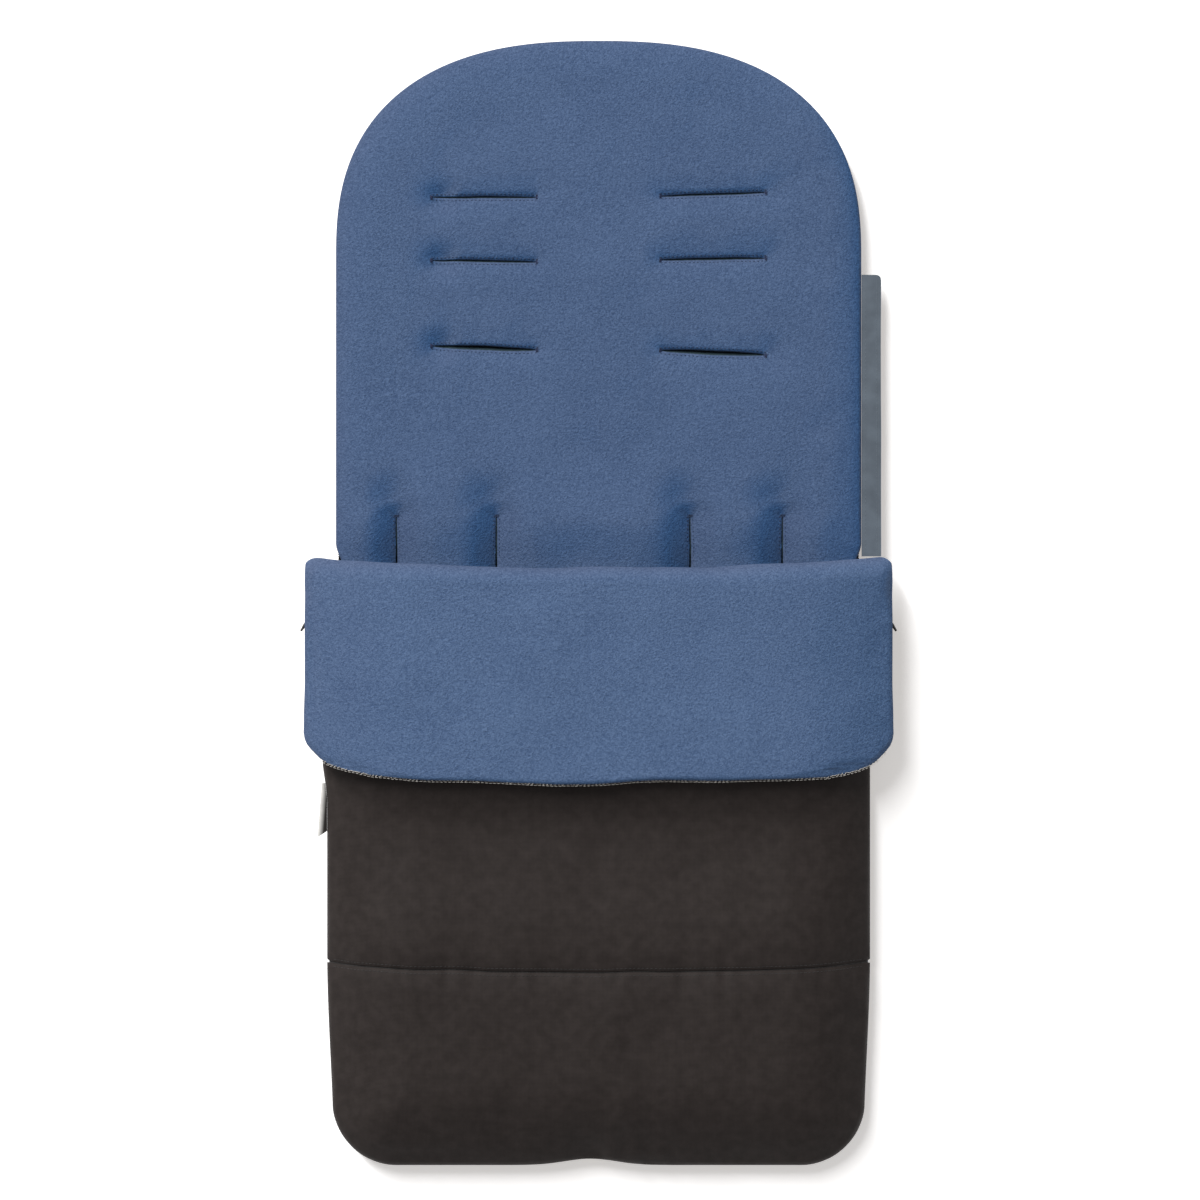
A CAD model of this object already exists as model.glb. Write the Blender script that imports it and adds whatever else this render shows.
import math

import bmesh
import bpy
import numpy as np
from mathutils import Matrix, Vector
from mathutils.geometry import delaunay_2d_cdt


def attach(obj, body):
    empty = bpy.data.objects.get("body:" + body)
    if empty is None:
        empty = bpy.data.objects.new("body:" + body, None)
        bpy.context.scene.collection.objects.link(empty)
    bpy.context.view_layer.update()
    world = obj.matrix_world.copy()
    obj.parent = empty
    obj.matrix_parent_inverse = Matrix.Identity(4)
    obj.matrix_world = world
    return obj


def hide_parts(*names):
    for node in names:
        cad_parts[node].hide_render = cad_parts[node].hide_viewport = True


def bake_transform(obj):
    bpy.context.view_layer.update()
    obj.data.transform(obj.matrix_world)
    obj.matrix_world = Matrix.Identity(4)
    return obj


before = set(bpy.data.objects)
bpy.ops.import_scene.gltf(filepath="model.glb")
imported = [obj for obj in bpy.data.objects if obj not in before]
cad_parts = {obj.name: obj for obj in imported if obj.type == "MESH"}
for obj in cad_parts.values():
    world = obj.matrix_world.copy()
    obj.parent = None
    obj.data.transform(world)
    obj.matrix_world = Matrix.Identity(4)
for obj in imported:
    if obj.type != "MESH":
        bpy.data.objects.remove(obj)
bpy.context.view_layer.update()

# Stroller footmuff lying on its back, head end towards +Y. Everything is in metres.
# Cloth is drawn a little fuller than its CAD solid. The slits keep their places in the outer cloth, while
# the wadding pushes their mouths across at the fleece.

mm = 0.001

pad = {
    "width": 0.445,
    "length": 0.945,
    "archHeight": 0.182,
    "archPower": 2.5,
    "corner": 0.046,
    "footTaper": 0.0055,
    "taperLength": 0.1725,
    "sideHigh": 0.0176,  # where the side seam runs on the open back
    "sideLow": 0.0115,  # and under the cover
    "sinkFrom": 0.0202,  # it sinks from here, above the hinge line
    "drawnFrom": 0.0342,  # and the zip draws the sides in from here
    "changeOver": 0.020,
    "drawnIn": 0.0062,
    "crown": 0.0262,
    "round": 0.034,
}

hinge = {"y": 0.0118, "gap": 0.0007}  # cloth on each side of the hinge line ends this far from it


# Numbers and outlines


def smoothStep(share):
    held = np.clip(share, 0, 1)
    return held * held * (3 - 2 * held)


def mix(first, second, share):
    return first + (second - first) * share


def gauss(distance, reach):
    return np.exp(-((distance / reach) ** 2))


def softNoise(x, y, size, seed):
    # random heights on a square lattice, joined smoothly, from -1 to 1
    table = np.random.RandomState(seed).uniform(-1, 1, (97, 89))
    u, v = np.asarray(x) / size + 400.0, np.asarray(y) / size + 400.0
    i, j = np.floor(u).astype(int), np.floor(v).astype(int)
    s, t = smoothStep(u - i), smoothStep(v - j)
    corner = lambda a, b: table[(i + a) % 97, (j + b) % 89]
    return mix(mix(corner(0, 0), corner(1, 0), s), mix(corner(0, 1), corner(1, 1), s), t)


def uneven(x, y, lumps):
    # lumps of several sizes, each given by its size, its seed and its height
    return sum(softNoise(x, y, size, seed) * high for size, seed, high in lumps)


def padHalf(y):
    foot = -pad["length"] / 2
    return pad["width"] / 2 - pad["footTaper"] * smoothStep(1 - (y - foot) / pad["taperLength"])


def rightEdge():
    # from the foot's middle, round the +X side, to the head's middle
    foot, corner = -pad["length"] / 2, pad["corner"]
    archY = pad["length"] / 2 - pad["archHeight"]
    cornerX, cornerY = padHalf(foot) - corner, foot + corner
    points = [(x, foot) for x in np.linspace(0, cornerX, 50)[:-1]]
    out = padHalf(cornerY) - padHalf(foot)
    for turn in np.linspace(-math.pi / 2, 0, 24):
        x = cornerX + corner * math.cos(turn) + out * math.cos(turn) ** 4
        points.append((x, cornerY + corner * math.sin(turn)))
    points += [(padHalf(y), y) for y in np.linspace(cornerY, archY, 200)[1:-1]]
    for turn in np.linspace(0, math.pi / 2, 140):
        x = pad["width"] / 2 * max(math.cos(turn), 0) ** (2 / pad["archPower"])
        points.append((x, archY + pad["archHeight"] * math.sin(turn) ** (2 / pad["archPower"])))
    points[-1] = (0, pad["length"] / 2)
    return np.array(points)


def movedOut(line, distance):
    ahead = np.vstack([line[1:], line[-1:] * 2 - line[-2:-1]])
    behind = np.vstack([line[:1] * 2 - line[1:2], line[:-1]])
    along = ahead - behind
    along[0], along[-1] = (1, 0), (-1, 0)
    along /= np.linalg.norm(along, axis=1)[:, None]
    return line + np.stack([along[:, 1], -along[:, 0]], axis=1) * np.reshape(distance, (-1, 1))


def resampled(line, step, closed=False):
    if closed:
        line = np.vstack([line, line[:1]])
    lengths = np.concatenate([[0], np.cumsum(np.linalg.norm(np.diff(line, axis=0), axis=1))])
    count = max(int(round(lengths[-1] / step)), 2)
    places = np.linspace(0, lengths[-1], count + 1)
    made = np.stack([np.interp(places, lengths, line[:, i]) for i in range(line.shape[1])], axis=1)
    return made[:-1] if closed else made


def mirrored(right):
    return np.vstack([right, right[1:-1][::-1] * (-1, 1)])


def drawnShare(y):
    return smoothStep((hinge["y"] + pad["drawnFrom"] - y) / pad["changeOver"])


def sideHeight(y):
    sunkShare = smoothStep((hinge["y"] + pad["sinkFrom"] - y) / pad["changeOver"])
    return mix(pad["sideHigh"], pad["sideLow"], sunkShare)


def padLoop(inset, drawn=0.0, step=0.003):
    edge = rightEdge()
    return resampled(mirrored(movedOut(edge, -inset - drawn * drawnShare(edge[:, 1]))), step, True)


def depthIn(points, line, closed=True):
    # how far each point lies from the nearest stretch of the line
    line = np.asarray(line, float)
    ends = np.roll(line, -1, axis=0)
    if not closed:
        line, ends = line[:-1], ends[:-1]
    along = ends - line
    length = (along**2).sum(1)
    found = []
    for part in np.array_split(np.asarray(points, float), max(len(points) // 3000, 1)):
        away = part[:, None] - line[None]
        share = np.clip((away * along[None]).sum(2) / length[None], 0, 1)
        found.append(np.linalg.norm(away - share[..., None] * along[None], axis=2).min(1))
    return np.concatenate(found)


def inside(points, loop):
    # whether a ray from each point crosses the loop an odd number of times
    loop = np.asarray(loop, float)
    ends = np.roll(loop, -1, axis=0)
    rise = np.where(ends[:, 1] == loop[:, 1], 1, ends[:, 1] - loop[:, 1])
    found = []
    for part in np.array_split(np.asarray(points, float), max(len(points) // 3000, 1)):
        x, y = part[:, :1], part[:, 1:]
        crosses = (loop[None, :, 1] > y) != (ends[None, :, 1] > y)
        crossX = loop[:, 0] + (y - loop[:, 1]) / rise * (ends[:, 0] - loop[:, 0])
        found.append((crosses & (x < crossX)).sum(1) % 2 == 1)
    return np.concatenate(found)


def gridIn(loop, step, clear=()):
    # staggered rows of points inside a loop, kept off its edge and off the given lines
    low, high = np.min(loop, axis=0), np.max(loop, axis=0)
    rows = []
    for number, y in enumerate(np.arange(low[1] + step / 2, high[1], step * 0.87)):
        xs = np.arange(low[0] + step * (0.25 + 0.5 * (number % 2)), high[0], step)
        rows.append(np.stack([xs, np.full(len(xs), y)], axis=1))
    points = np.vstack(rows)
    points = points[inside(points, loop)]
    points = points[depthIn(points, loop) > step * 0.55]
    for line, room in clear:
        first, last = np.min(line, axis=0) - room * 2, np.max(line, axis=0) + room * 2
        near = (points > first).all(1) & (points < last).all(1)
        away = np.full(len(points), room * 2)
        if near.any():
            away[near] = np.where(inside(points[near], line), 0, depthIn(points[near], line))
        points = points[away > room]
    return points


# Meshes


def linkMesh(name, mesh, material):
    piece = bpy.data.objects.new(name, mesh)
    bpy.context.scene.collection.objects.link(piece)
    mesh.materials.append(material)
    return piece


def meshFrom(name, points, faces, material, sharp=None):
    mesh = bpy.data.meshes.new(name)
    mesh.from_pydata([tuple(map(float, p)) for p in points], [], faces)
    work = bmesh.new()
    work.from_mesh(mesh)
    bmesh.ops.recalc_face_normals(work, faces=work.faces)
    work.to_mesh(mesh)
    work.free()
    mesh.shade_smooth()
    if sharp:
        mesh.set_sharp_from_angle(angle=math.radians(sharp))
    return linkMesh(name, mesh, material)


def filled(loops, points):
    # triangles between the first loop and the others, on all the points given
    places, edges = [], []
    for loop in loops:
        first = len(places)
        places += [tuple(p) for p in loop]
        edges += [(first + i, first + (i + 1) % len(loop)) for i in range(len(loop))]
    places += [tuple(p) for p in points]
    made = delaunay_2d_cdt([Vector(p) for p in places], edges, [], 0, 1e-6)
    flat = np.array([tuple(v) for v in made[0]])
    faces = np.array([f for f in made[2] if len(f) == 3])
    middles = flat[faces].mean(axis=1)
    kept = inside(middles, loops[0])
    for hole in loops[1:]:
        kept &= ~inside(middles, hole)
    placeOf = {source: i for i, merged in enumerate(made[3]) for source in merged}
    borders, first = [], 0
    for loop in loops:
        borders.append([placeOf[first + i] for i in range(len(loop))])
        first += len(loop)
    return flat, faces[kept], borders


def layer(name, loops, points, top, low, material, lowPoints=None):
    # a closed layer of cloth: a shaped top, a shaped underside and walls round every loop
    flat, faces, borders = filled(loops, points)
    flatLow, facesLow, bordersLow = filled(loops, points if lowPoints is None else lowPoints)
    spots = np.column_stack([flat, top(flat)])
    spotsLow = np.column_stack([flatLow, low(flatLow)])
    count = len(spots)
    made = [tuple(f) for f in faces] + [tuple(i + count for i in f[::-1]) for f in facesLow]
    for upper, lower in zip(borders, bordersLow):
        for i in range(len(upper)):
            j = (i + 1) % len(upper)
            made.append((upper[i], upper[j], lower[j] + count, lower[i] + count))
    return meshFrom(name, np.vstack([spots, spotsLow]), made, material)


def gridFaces(rows, columns, first=0, wrap=False):
    faces = []
    for i in range(rows - 1):
        for j in range(columns if wrap else columns - 1):
            k = (j + 1) % columns
            a, b = first + i * columns, first + (i + 1) * columns
            faces.append((a + j, a + k, b + k, b + j))
    return faces


def gridLayer(name, outer, inner, material, sharp=None):
    # a closed layer between two grids of points of the same size
    rows, columns = outer.shape[:2]
    count = rows * columns
    faces = gridFaces(rows, columns) + [f[::-1] for f in gridFaces(rows, columns, count)]
    rim = [(0, j) for j in range(columns)] + [(i, columns - 1) for i in range(1, rows)]
    rim += [(rows - 1, j) for j in range(columns - 2, -1, -1)] + [(i, 0) for i in range(rows - 2, 0, -1)]
    index = [i * columns + j for i, j in rim]
    for a, b in zip(index, index[1:] + index[:1]):
        faces.append((b, a, a + count, b + count))
    return meshFrom(name, np.vstack([outer.reshape(-1, 3), inner.reshape(-1, 3)]), faces, material, sharp)


def frames(path):
    path = np.asarray(path, float)
    along = np.gradient(path, axis=0)
    along /= np.linalg.norm(along, axis=1)[:, None]
    side = np.cross(along, (0, 0, 1))
    side /= np.maximum(np.linalg.norm(side, axis=1), 1e-9)[:, None]
    return path, along, side, np.cross(side, along)


def sweptTube(name, path, profile, material, sharp=None):
    # profile is a loop of (side, up) offsets from the path
    path, _, side, up = frames(path)
    profile = np.asarray(profile, float)
    rings = path[:, None] + side[:, None] * profile[:, :1] + up[:, None] * profile[:, 1:]
    count = len(profile)
    last = (len(path) - 1) * count
    faces = gridFaces(len(path), count, wrap=True)
    faces += [tuple(range(count)), tuple(range(last + count - 1, last - 1, -1))]
    return meshFrom(name, rings.reshape(-1, 3), faces, material, sharp)


def roundProfile(radius, sides=8, flat=1.0):
    turns = np.linspace(0, 2 * math.pi, sides, endpoint=False)
    return np.stack([radius * np.cos(turns), radius * flat * np.sin(turns)], axis=1)


def ribbonLoop(points, thick):
    # the outline of a strip of cloth seen from its end
    points = np.asarray(points, float)
    along = np.gradient(points, axis=0)
    along /= np.linalg.norm(along, axis=1)[:, None]
    away = np.stack([-along[:, 1], along[:, 0]], axis=1) * thick / 2
    return np.vstack([points + away, (points - away)[::-1]])


def stitches(name, paths, length, gap, radius, material, sink=0.35):
    # short raised threads along each path, dipping into the cloth at both ends
    points, faces = [], []
    dip = np.array([-1, 0.25, 0.6, 0.25, -1])  # each thread's height and fullness from end to end
    full = np.array([0.5, 0.9, 1, 0.9, 0.5])
    rows, sides = len(dip), 5
    for path in paths:
        path = np.asarray(path, float)
        run = np.concatenate([[0], np.cumsum(np.linalg.norm(np.diff(path, axis=0), axis=1))])
        for start in np.arange(gap / 2, run[-1] - length, length + gap):
            places = start + np.linspace(0, length, rows)
            spine = np.stack([np.interp(places, run, path[:, i]) for i in range(3)], axis=1)
            spine[:, 2] += radius * (dip * sink * 2)
            _, _, side, up = frames(spine)
            turns = np.linspace(0, 2 * math.pi, sides, endpoint=False)
            ring = np.cos(turns)[None, :, None] * side[:, None] + np.sin(turns)[None, :, None] * up[:, None]
            rings = spine[:, None] + ring * (radius * full)[:, None, None]
            first = len(points)
            points += [tuple(p) for p in rings.reshape(-1, 3)]
            faces += gridFaces(rows, sides, first, True)
            faces.append(tuple(first + j for j in range(sides)))
            faces.append(tuple(first + (rows - 1) * sides + j for j in range(sides - 1, -1, -1)))
    return meshFrom(name, points, faces, material)


def settle(piece, body, slot, *nodes):
    # the piece goes with its body, in its slot, and stands in for these CAD nodes
    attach(piece, body)
    if nodes:
        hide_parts(*nodes)
    return piece


# Materials


def hexColour(text):
    found = []
    for i in (1, 3, 5):
        channel = int(text[i : i + 2], 16) / 255
        found.append(channel / 12.92 if channel <= 0.04045 else ((channel + 0.055) / 1.055) ** 2.4)
    return (*found, 1)


def addNode(tree, kind, inputs=None, **settings):
    node = tree.nodes.new("ShaderNode" + kind)
    for name, value in settings.items():
        setattr(node, name, value)
    for name, value in (inputs or {}).items():
        if isinstance(value, bpy.types.NodeSocket):
            tree.links.new(value, node.inputs[name])
        else:
            node.inputs[name].default_value = value
    return node


def startMaterial(name, roughness, metallic=0.0, **sockets):
    material = bpy.data.materials.new(name)
    material.use_nodes = True
    tree = material.node_tree
    shader = tree.nodes["Principled BSDF"]
    shader.inputs["Roughness"].default_value = roughness
    shader.inputs["Metallic"].default_value = metallic
    for socket, value in sockets.items():
        shader.inputs[socket.replace("_", " ")].default_value = value
    place = addNode(tree, "TexCoord").outputs["Object"]
    return material, tree, shader, place


def perMetre(millimetres):
    return 1 / (millimetres * mm)


def bandScale(millimetres):
    # a wave texture's bands lie about 1 / pi apart at scale 1
    return perMetre(millimetres) / math.pi


# Polyester fleece, knitted and brushed: a matt face of short fibres that clump into small
# soft grains, paler where the fibre tips catch the light and deeper down between the clumps.
fleece = {
    "deep": "#374a69",
    "tips": "#536787",
    "sheen": "#8ea5d6",
    "clumpMm": 1.9,
    "fibreMm": 0.9,
    "napMm": 60,
    "height": 1.1,
    "combedTo": (-0.75, 0.66, 0),
    "sides": (0.56, 0.93, 1.15, 1),  # tint of the fibres' sides
    "points": (0.85, 0.76, 0.74, 1),  # and of their tips, seen along the pile
}

# The cover's lining, which makes the cuff, is the same cloth from a slightly paler dye lot.
liningFleece = {**fleece, "deep": "#3c5070", "tips": "#5a6f8f", "sides": (0.84, 0.98, 1.05, 1)}


def brushedFleece(name, cloth):
    material, tree, shader, place = startMaterial(
        name, 0.95, Sheen_Weight=0.16, Sheen_Roughness=0.45, Specular_IOR_Level=0.2
    )
    shader.inputs["Sheen Tint"].default_value = hexColour(cloth["sheen"])
    size = perMetre(cloth["clumpMm"])
    clump = addNode(tree, "TexNoise", {
        "Vector": place, "Scale": size, "Detail": 2.0, "Roughness": 0.55, "Distortion": 0.6,
    })
    fibre = addNode(tree, "TexNoise", {
        "Vector": place, "Scale": perMetre(cloth["fibreMm"]), "Detail": 2.0, "Roughness": 0.6,
    })
    nap = addNode(tree, "TexNoise", {"Vector": place, "Scale": perMetre(cloth["napMm"]), "Detail": 2.0})
    grain = addNode(tree, "Math", {0: clump.outputs["Fac"], 1: fibre.outputs["Fac"]}, operation="ADD")
    tone = addNode(tree, "MapRange", {"Value": grain.outputs[0], "From Min": 0.75, "From Max": 1.25})
    worn = addNode(tree, "MapRange", {
        "Value": nap.outputs["Fac"], "From Min": 0.3, "From Max": 0.7, "To Min": -0.07, "To Max": 0.07,
    })
    share = addNode(tree, "Math", {0: tone.outputs[0], 1: worn.outputs[0]}, operation="ADD", use_clamp=True)
    deep, tips = hexColour(cloth["deep"]), hexColour(cloth["tips"])
    colour = addNode(tree, "Mix", {0: share.outputs[0], 6: deep, 7: tips}, data_type="RGBA")
    # the pile is combed towards the head and to the left: a gentle slope that falls away from there
    # shows the fibres' deeper blue sides, and one that faces there shows their greyer tips
    upright = addNode(tree, "NewGeometry").outputs["Normal"]
    lean = addNode(tree, "VectorMath", {0: upright, 1: cloth["combedTo"]}, operation="DOT_PRODUCT")
    slope = lean.outputs["Value"]
    away = addNode(tree, "MapRange", {"Value": slope, "From Min": -0.01, "From Max": -0.38})
    gentle = addNode(tree, "MapRange", {
        "Value": slope, "From Min": -0.34, "From Max": -0.58, "To Min": 1.0, "To Max": 0.15,
    })
    sides = addNode(tree, "Math", {0: away.outputs[0], 1: gentle.outputs[0]}, operation="MULTIPLY")
    towards = addNode(tree, "MapRange", {"Value": slope, "From Min": 0.04, "From Max": 0.62})
    for seen, tint in ((sides, cloth["sides"]), (towards, cloth["points"])):
        layers = {0: seen.outputs[0], 6: colour.outputs[2], 7: tint}
        colour = addNode(tree, "Mix", layers, data_type="RGBA", blend_type="MULTIPLY")
    tree.links.new(colour.outputs[2], shader.inputs["Base Color"])
    heights = {0: fibre.outputs["Fac"], 1: 0.35, 2: clump.outputs["Fac"]}
    high = addNode(tree, "Math", heights, operation="MULTIPLY_ADD").outputs[0]
    bump = addNode(tree, "Bump", {"Height": high, "Distance": cloth["height"] * mm, "Strength": 0.75})
    tree.links.new(bump.outputs[0], shader.inputs["Normal"])
    return material


# Water-repellent polyester, plain woven and dyed black: a close dull cloth with a slight
# sheen on its folds. The real threads lie 0.3 mm apart, drawn here at 1.1 mm so that they show.
outerCloth = {"dark": "#1f1a18", "light": "#302a28", "threadMm": 1.1, "slubMm": 9, "height": 0.10}


def plainWoven(name, cloth, roughness, sheen):
    material, tree, shader, place = startMaterial(
        name, roughness, Sheen_Weight=sheen, Sheen_Roughness=0.4, Specular_IOR_Level=0.12
    )
    bent = addNode(tree, "TexNoise", {"Vector": place, "Scale": perMetre(cloth["slubMm"]), "Detail": 3.0})
    threads = []
    for direction in ("X", "Y"):
        wave = addNode(
            tree,
            "TexWave",
            {
                "Vector": place,
                "Scale": bandScale(cloth["threadMm"]),
                "Distortion": 0.6,
                "Detail": 1.0,
                "Detail Scale": 2.0,
            },
            wave_type="BANDS",
            bands_direction=direction,
            wave_profile="SIN",
        )
        threads.append(wave.outputs["Fac"])
    weave = addNode(tree, "Math", {0: threads[0], 1: threads[1]}, operation="MAXIMUM").outputs[0]
    tone = addNode(tree, "Math", {0: weave, 1: 0.45, 2: bent.outputs["Fac"]}, operation="MULTIPLY_ADD")
    share = addNode(tree, "MapRange", {"Value": tone.outputs[0], "From Min": 0.45, "From Max": 1.15})
    dark, light = hexColour(cloth["dark"]), hexColour(cloth["light"])
    colour = addNode(tree, "Mix", {0: share.outputs[0], 6: dark, 7: light}, data_type="RGBA")
    tree.links.new(colour.outputs[2], shader.inputs["Base Color"])
    bump = addNode(tree, "Bump", {"Height": weave, "Distance": cloth["height"] * mm, "Strength": 0.5})
    tree.links.new(bump.outputs[0], shader.inputs["Normal"])
    return material


# The draught flap is a plain woven lining cloth, calendered smooth and grey.
flapCloth = {"dark": "#50575f", "light": "#666f78", "threadMm": 1.0, "slubMm": 14, "height": 0.05}
# Slit facings are a close slate lining cloth, nearly black where no light gets in.
facingCloth = {"dark": "#1c282e", "light": "#32434a", "threadMm": 0.9, "slubMm": 6, "height": 0.06}
# Zip tape is warp knitted and dyed black, with ribs 0.8 mm apart.
tapeCloth = {"dark": "#151414", "light": "#242323", "threadMm": 0.8, "slubMm": 5, "height": 0.10}
# Satin ribbon is woven with long floats, so it is smooth and takes a soft highlight.
ribbonCloth = {"dark": "#b9b6b2", "light": "#d4d1cc", "threadMm": 0.6, "slubMm": 8, "height": 0.03}


def spunThread(shade, dark, light, twistMm=0.9):
    # Spun polyester sewing thread: matt, two plies twisted together, so it shows slanted bands.
    material, tree, shader, place = startMaterial(
        "spun polyester thread, " + shade, 0.8, Sheen_Weight=0.05, Sheen_Roughness=0.4
    )
    twist = {"Vector": place, "Scale": bandScale(twistMm), "Distortion": 1.5, "Detail": 2.0}
    wave = addNode(tree, "TexWave", twist, wave_type="BANDS", bands_direction="DIAGONAL").outputs["Fac"]
    colour = addNode(tree, "Mix", {0: wave, 6: hexColour(dark), 7: hexColour(light)}, data_type="RGBA")
    tree.links.new(colour.outputs[2], shader.inputs["Base Color"])
    bump = addNode(tree, "Bump", {"Height": wave, "Distance": 0.08 * mm, "Strength": 0.6})
    tree.links.new(bump.outputs[0], shader.inputs["Normal"])
    return material


def woundNylon():
    # Nylon coil, wound from monofilament: smooth and slightly glossy, dyed black.
    material, tree, shader, place = startMaterial("wound nylon zip coil", 0.35)
    worn = addNode(tree, "TexNoise", {"Vector": place, "Scale": perMetre(3), "Detail": 3.0}).outputs["Fac"]
    shades = {0: worn, 6: hexColour("#131313"), 7: hexColour("#2b2a2a")}
    colour = addNode(tree, "Mix", shades, data_type="RGBA")
    tree.links.new(colour.outputs[2], shader.inputs["Base Color"])
    return material


def enamelledZinc():
    # Zinc alloy, die cast and enamelled black: an even gloss that thins to grey metal on worn edges.
    material, tree, shader, place = startMaterial(
        "black enamelled die-cast zinc", 0.3, Coat_Weight=0.4, Coat_Roughness=0.15
    )
    edge = addNode(tree, "NewGeometry").outputs["Pointiness"]
    specks = {"Vector": place, "Scale": perMetre(0.8), "Detail": 4.0, "Roughness": 0.7}
    scuff = addNode(tree, "TexNoise", specks).outputs["Fac"]
    worn = addNode(tree, "MapRange", {"Value": edge, "From Min": 0.54, "From Max": 0.60, "To Max": 0.8})
    share = addNode(tree, "Math", {0: worn.outputs[0], 1: scuff}, operation="MULTIPLY", use_clamp=True)
    shades = {0: share.outputs[0], 6: hexColour("#1b1b1d"), 7: hexColour("#7d7e80")}
    colour = addNode(tree, "Mix", shades, data_type="RGBA")
    tree.links.new(colour.outputs[2], shader.inputs["Base Color"])
    rough = addNode(tree, "MapRange", {"Value": scuff, "To Min": 0.22, "To Max": 0.42})
    tree.links.new(rough.outputs[0], shader.inputs["Roughness"])
    bump = addNode(tree, "Bump", {"Height": scuff, "Distance": 0.03 * mm, "Strength": 0.4})
    tree.links.new(bump.outputs[0], shader.inputs["Normal"])
    return material


def nickelPlate():
    # Pressed steel with nickel plate: bright warm grey with fine tumbling scratches.
    material, tree, shader, place = startMaterial("nickel plated pressed steel", 0.3, 1.0)
    lines = {"Vector": place, "Scale": perMetre(0.5), "Detail": 5.0, "Roughness": 0.75}
    scratch = addNode(tree, "TexNoise", lines).outputs["Fac"]
    shades = {0: scratch, 6: hexColour("#8f8b84"), 7: hexColour("#b9b5ad")}
    colour = addNode(tree, "Mix", shades, data_type="RGBA")
    tree.links.new(colour.outputs[2], shader.inputs["Base Color"])
    rough = addNode(tree, "MapRange", {"Value": scratch, "To Min": 0.18, "To Max": 0.45})
    tree.links.new(rough.outputs[0], shader.inputs["Roughness"])
    return material


def mouldedRubber():
    # Thermoplastic rubber, injection moulded: matt black with a fine spark-eroded skin, 0.3 mm grains.
    name = "moulded thermoplastic rubber"
    material, tree, shader, place = startMaterial(name, 0.55, Specular_IOR_Level=0.45)
    skin = addNode(tree, "TexNoise", {"Vector": place, "Scale": perMetre(0.3), "Detail": 2.0}).outputs["Fac"]
    dust = addNode(tree, "TexNoise", {"Vector": place, "Scale": perMetre(5), "Detail": 3.0}).outputs["Fac"]
    shades = {0: dust, 6: hexColour("#161515"), 7: hexColour("#292727")}
    colour = addNode(tree, "Mix", shades, data_type="RGBA")
    tree.links.new(colour.outputs[2], shader.inputs["Base Color"])
    bump = addNode(tree, "Bump", {"Height": skin, "Distance": 0.05 * mm, "Strength": 0.5})
    tree.links.new(bump.outputs[0], shader.inputs["Normal"])
    return material


def soiledRibbon(material):
    # the ribbon is soiled dark towards the seam that it is caught in
    tree = material.node_tree
    shader = tree.nodes["Principled BSDF"]
    place = addNode(tree, "TexCoord").outputs["Object"]
    dot = addNode(tree, "VectorMath", {0: place, 1: (1, -0.085, 0)}, operation="DOT_PRODUCT")
    across = dot.outputs["Value"]
    soil = addNode(tree, "MapRange", {"Value": across, "From Min": -0.2196, "From Max": -0.2160})
    plain = shader.inputs["Base Color"].links[0].from_socket
    shades = {0: soil.outputs[0], 6: plain, 7: hexColour("#2a2725")}
    shaded = addNode(tree, "Mix", shades, data_type="RGBA")
    tree.links.new(shaded.outputs[2], shader.inputs["Base Color"])
    return material


fleeceCloth = brushedFleece("knitted brushed polyester fleece", fleece)
liningCloth = brushedFleece("knitted brushed polyester fleece, lining", liningFleece)
blackCloth = plainWoven("woven water-repellent polyester", outerCloth, 0.66, 0.02)
greyCloth = plainWoven("calendered woven lining", flapCloth, 0.5, 0.1)
facing = plainWoven("woven slate facing", facingCloth, 0.85, 0.05)
zipTape = plainWoven("warp knitted zip tape", tapeCloth, 0.75, 0.1)
satin = soiledRibbon(plainWoven("woven satin ribbon", ribbonCloth, 0.27, 0.0))
blackThread = spunThread("black", "#121110", "#2a2827")
navyThread = spunThread("navy", "#0a1430", "#13224a")
blueThread = spunThread("blue", "#1c2a45", "#324465")
paleThread = spunThread("pale grey", "#a39e98", "#ddd8cf")
greyThread = spunThread("grey", "#4d545b", "#69727b")
nylonCoil = woundNylon()
print("materials made")


# Back pad: fleece face over wadding, drawn down at the slits

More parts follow.
